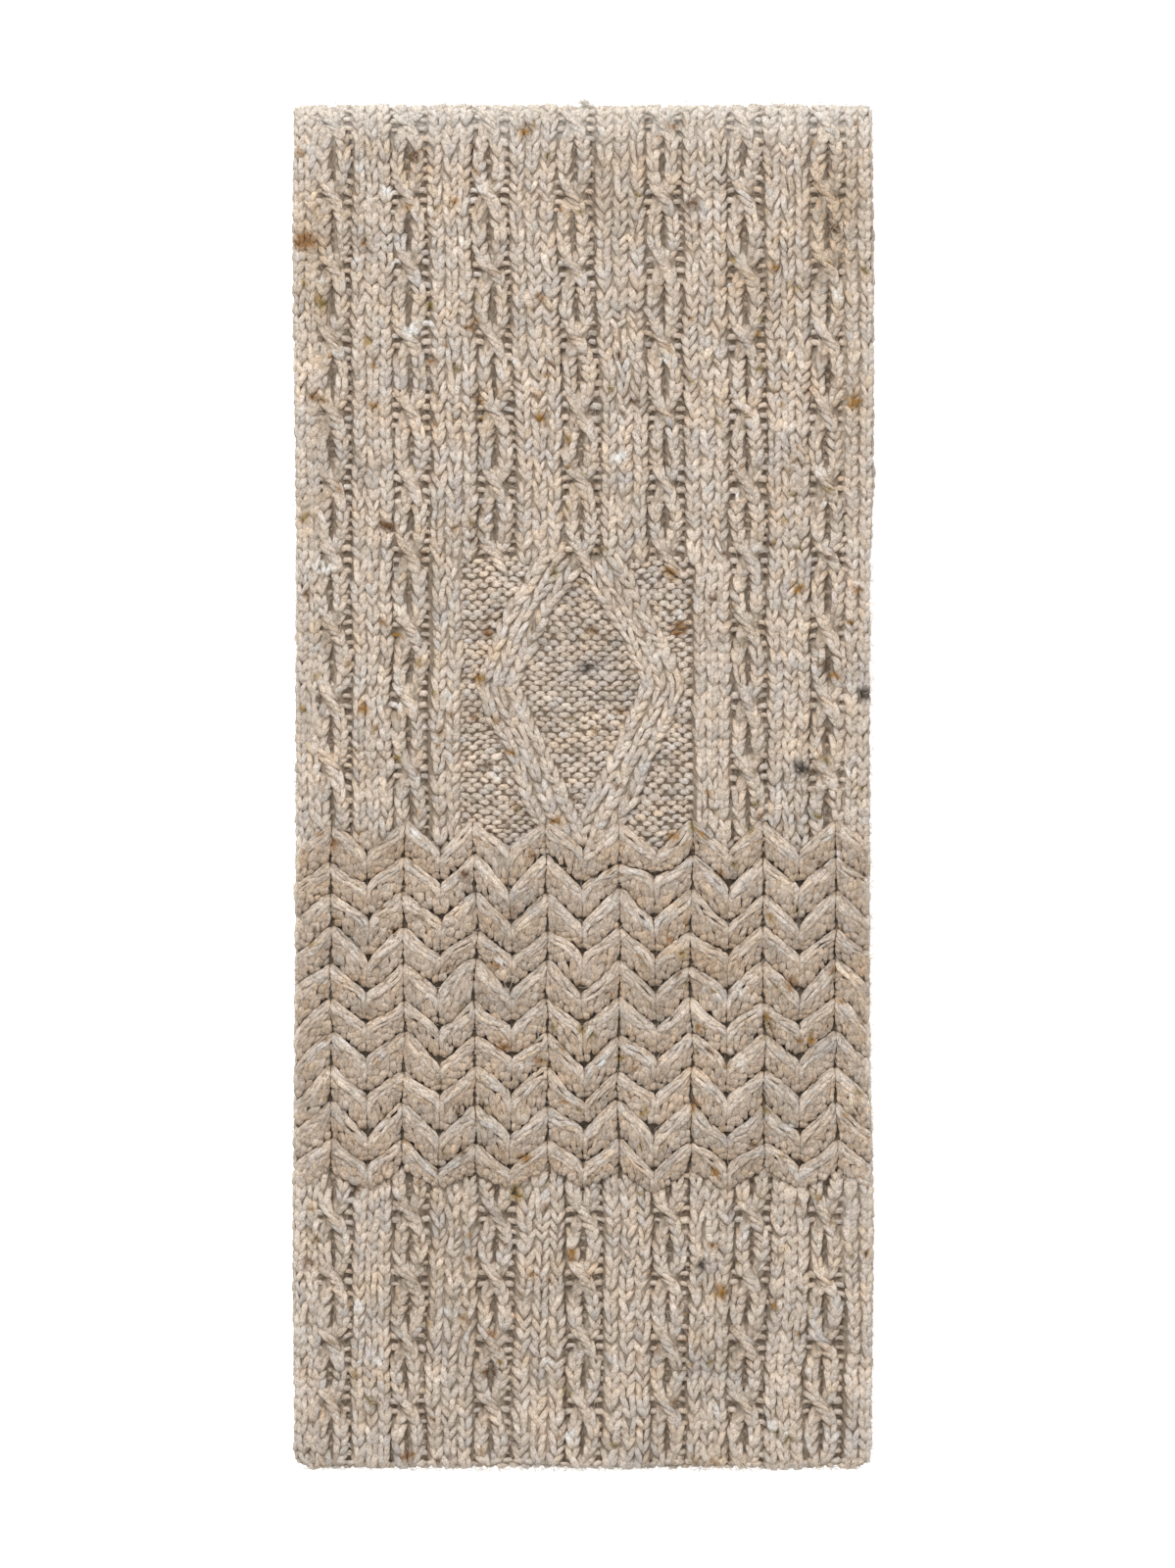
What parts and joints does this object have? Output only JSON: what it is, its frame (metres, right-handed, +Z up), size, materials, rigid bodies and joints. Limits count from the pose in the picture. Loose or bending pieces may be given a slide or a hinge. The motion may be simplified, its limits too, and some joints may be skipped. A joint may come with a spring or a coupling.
{
  "type": "folded knit scarf",
  "caption": "Hand-knit wool scarf with small cables, ribs, a diamond panel and a chevron band, lying flat and folded in three.",
  "frame": {"origin": "middle of the flat underside", "axes": "+Y along the scarf towards the fold of the front stretch, +X across it, +Z up out of the patterned face"},
  "size_m": [0.282, 0.6631, 0.0177],
  "materials": {
    "wool_front": "soft marled wool yarn with tweed flecks, matt",
    "wool_inner": "soft marled wool yarn with tweed flecks, matt, in shade"
  },
  "bodies": {
    "root": {"front_stretch": "wool_front", "hidden_layers": "wool_inner"}
  },
  "joints": []
}
